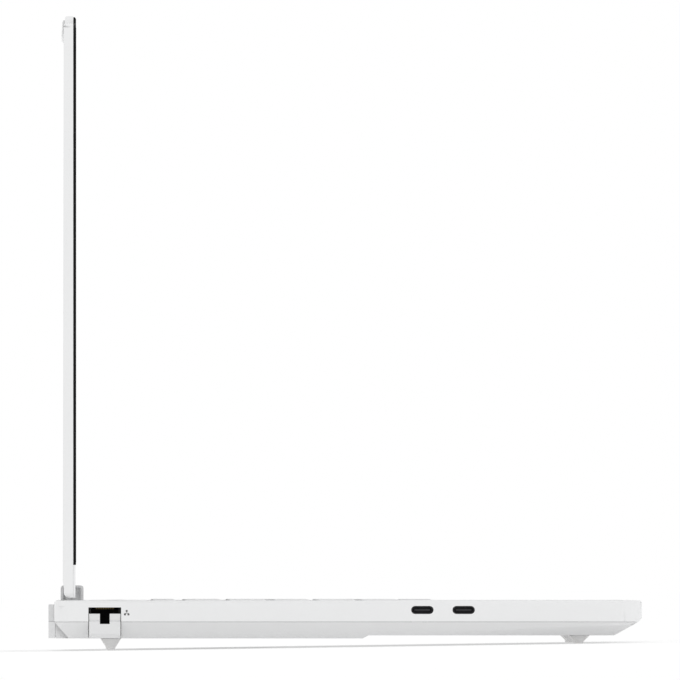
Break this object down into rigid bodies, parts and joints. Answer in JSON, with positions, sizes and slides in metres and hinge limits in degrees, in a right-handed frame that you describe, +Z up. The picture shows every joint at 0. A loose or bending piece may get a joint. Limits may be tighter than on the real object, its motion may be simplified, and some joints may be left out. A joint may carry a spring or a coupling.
{
  "type": "laptop computer",
  "caption": "Clamshell laptop with a full keyboard, touchpad, side and rear sockets, rear air exhaust and a bezelled screen on friction hinges.",
  "frame": {"origin": "centre of the footprint on the surface that the feet stand on", "axes": "+Z up, +X to the user's right, +Y from the user towards the hinge"},
  "size_m": [0.345, 0.2547, 0.274],
  "materials": {
    "white_shell": "satin off-white paint over moulded plastic",
    "white_underside": "fine-textured off-white plastic",
    "grey_trim": "fine-textured light grey plastic",
    "keycap_white": "smooth matt white plastic with grey legends",
    "black_bezel": "matt black plastic",
    "black_plastic": "matt black plastic",
    "screen_glass": "dark anti-glare screen, off",
    "lens_glass": "dark glossy lens",
    "touch_surface": "smooth satin touch surface",
    "grey_rubber": "light grey rubber",
    "hinge_steel": "plain steel",
    "socket_metal": "dark plated steel",
    "contact_gold": "gold-plated springs",
    "copper_pipe": "flattened copper pipe",
    "fin_aluminium": "thin aluminium fins",
    "circuit_board": "green laminate",
    "battery_wrap": "black film"
  },
  "bodies": {
    "base": {"bottom_cover": "white_underside", "top_deck": "white_shell", "rear_bumper_top": "grey_trim", "rear_bumper_bottom": "white_shell", "hinge_cap_left": "grey_trim", "hinge_cap_right": "grey_trim", "hinge_brackets": "hinge_steel", "rear_foot": "grey_rubber", "front_feet": "grey_rubber", "bottom_screws": "hinge_steel", "keyboard_plate": "black_plastic", "touchpad_bracket": "hinge_steel", "motherboard": "circuit_board", "board_chips": "black_plastic", "heat_pipes": "copper_pipe", "cooling_fins": "fin_aluminium", "fan_housings": "black_plastic", "battery_pack": "battery_wrap", "solid_state_drives": "circuit_board", "memory_modules": "circuit_board", "wireless_card": "circuit_board", "speakers": "black_plastic", "network_socket": "black_plastic", "network_contacts": "contact_gold", "usb_c_sockets": "socket_metal", "usb_a_sockets": "socket_metal", "video_socket": "socket_metal", "power_socket": "black_plastic", "audio_socket": "black_plastic"},
    "lid": {"lid_cover": "white_shell", "screen_bezel": "black_bezel", "lid_chin": "white_shell", "display_panel": "screen_glass", "camera_board": "circuit_board", "camera_lens": "lens_glass", "hinge_arms": "hinge_steel", "hinge_shafts": "hinge_steel", "hinge_washers": "hinge_steel", "display_cable": "black_plastic"},
    "network_jaw": {"network_jaw": "white_shell"},
    "camera_switch": {"camera_switch": "black_plastic"},
    "power_button": {"power_button": "keycap_white"},
    "touchpad": {"touchpad": "touch_surface"},
    "fan_rotor_left": {"fan_rotor_left": "black_plastic"},
    "fan_rotor_right": {"fan_rotor_right": "black_plastic"},
    "keys_function_row": {"keys_function_row": "keycap_white"},
    "keys_number_row": {"keys_number_row": "keycap_white"},
    "backspace_key": {"backspace_key": "keycap_white"},
    "keys_upper_row": {"keys_upper_row": "keycap_white"},
    "keys_home_row": {"keys_home_row": "keycap_white"},
    "enter_key": {"enter_key": "keycap_white"},
    "keys_lower_row": {"keys_lower_row": "keycap_white"},
    "shift_key_left": {"shift_key_left": "keycap_white"},
    "shift_key_right": {"shift_key_right": "keycap_white"},
    "keys_bottom_row": {"keys_bottom_row": "keycap_white"},
    "space_bar": {"space_bar": "keycap_white"},
    "arrow_keys": {"arrow_keys": "keycap_white"},
    "number_pad_keys": {"number_pad_keys": "keycap_white"},
    "number_pad_enter_key": {"number_pad_enter_key": "keycap_white"}
  },
  "joints": [
    {"name": "lid_hinge", "type": "hinge", "parent": "base", "child": "lid", "pos_m": [0, 0.11714, 0.02464], "axis": [1, 0, 0], "range_deg": [-45, 90]},
    {"name": "network_jaw_hinge", "type": "hinge", "parent": "base", "child": "network_jaw", "pos_m": [-0.16, 0.10318, 0.00824], "axis": [0, -0.9999, -0.0145], "range_deg": [0, 18], "stiffness_Nm_per_rad": 0.02, "springref_deg": -17.19},
    {"name": "camera_switch_slide", "type": "slide", "parent": "base", "child": "camera_switch", "axis": [0, 0.9999, 0.0145], "range_m": [0, 0.0032]},
    {"name": "power_button_press", "type": "slide", "parent": "base", "child": "power_button", "axis": [0, 0.0145, -0.9999], "range_m": [0, 0.0004], "stiffness_N_per_m": 900, "springref_m": -0.0008},
    {"name": "touchpad_click", "type": "hinge", "parent": "base", "child": "touchpad", "pos_m": [-0.024, -0.04659, 0.01827], "axis": [1, 0, 0], "range_deg": [0, 0.3], "stiffness_Nm_per_rad": 8, "springref_deg": -0.34},
    {"name": "fan_left_spin", "type": "hinge", "parent": "base", "child": "fan_rotor_left", "pos_m": [-0.1, 0.06004, 0.01061], "axis": [0, -0.0145, 0.9999], "continuous": true},
    {"name": "fan_right_spin", "type": "hinge", "parent": "base", "child": "fan_rotor_right", "pos_m": [0.1, 0.06004, 0.01061], "axis": [0, -0.0145, 0.9999], "continuous": true},
    {"name": "function_row_press", "type": "slide", "parent": "base", "child": "keys_function_row", "axis": [0, 0.0145, -0.9999], "range_m": [0, 0.0015], "stiffness_N_per_m": 400, "springref_m": -0.001},
    {"name": "number_row_press", "type": "slide", "parent": "base", "child": "keys_number_row", "axis": [0, 0.0145, -0.9999], "range_m": [0, 0.0015], "stiffness_N_per_m": 400, "springref_m": -0.001},
    {"name": "backspace_press", "type": "slide", "parent": "base", "child": "backspace_key", "axis": [0, 0.0145, -0.9999], "range_m": [0, 0.0015], "stiffness_N_per_m": 400, "springref_m": -0.001},
    {"name": "upper_row_press", "type": "slide", "parent": "base", "child": "keys_upper_row", "axis": [0, 0.0145, -0.9999], "range_m": [0, 0.0015], "stiffness_N_per_m": 400, "springref_m": -0.001},
    {"name": "home_row_press", "type": "slide", "parent": "base", "child": "keys_home_row", "axis": [0, 0.0145, -0.9999], "range_m": [0, 0.0015], "stiffness_N_per_m": 400, "springref_m": -0.001},
    {"name": "enter_press", "type": "slide", "parent": "base", "child": "enter_key", "axis": [0, 0.0145, -0.9999], "range_m": [0, 0.0015], "stiffness_N_per_m": 400, "springref_m": -0.001},
    {"name": "lower_row_press", "type": "slide", "parent": "base", "child": "keys_lower_row", "axis": [0, 0.0145, -0.9999], "range_m": [0, 0.0015], "stiffness_N_per_m": 400, "springref_m": -0.001},
    {"name": "shift_left_press", "type": "slide", "parent": "base", "child": "shift_key_left", "axis": [0, 0.0145, -0.9999], "range_m": [0, 0.0015], "stiffness_N_per_m": 400, "springref_m": -0.001},
    {"name": "shift_right_press", "type": "slide", "parent": "base", "child": "shift_key_right", "axis": [0, 0.0145, -0.9999], "range_m": [0, 0.0015], "stiffness_N_per_m": 400, "springref_m": -0.001},
    {"name": "bottom_row_press", "type": "slide", "parent": "base", "child": "keys_bottom_row", "axis": [0, 0.0145, -0.9999], "range_m": [0, 0.0015], "stiffness_N_per_m": 400, "springref_m": -0.001},
    {"name": "space_bar_press", "type": "slide", "parent": "base", "child": "space_bar", "axis": [0, 0.0145, -0.9999], "range_m": [0, 0.0015], "stiffness_N_per_m": 400, "springref_m": -0.001},
    {"name": "arrow_press", "type": "slide", "parent": "base", "child": "arrow_keys", "axis": [0, 0.0145, -0.9999], "range_m": [0, 0.0015], "stiffness_N_per_m": 400, "springref_m": -0.001},
    {"name": "number_pad_press", "type": "slide", "parent": "base", "child": "number_pad_keys", "axis": [0, 0.0145, -0.9999], "range_m": [0, 0.0015], "stiffness_N_per_m": 400, "springref_m": -0.001},
    {"name": "number_pad_enter_press", "type": "slide", "parent": "base", "child": "number_pad_enter_key", "axis": [0, 0.0145, -0.9999], "range_m": [0, 0.0015], "stiffness_N_per_m": 400, "springref_m": -0.001}
  ]
}
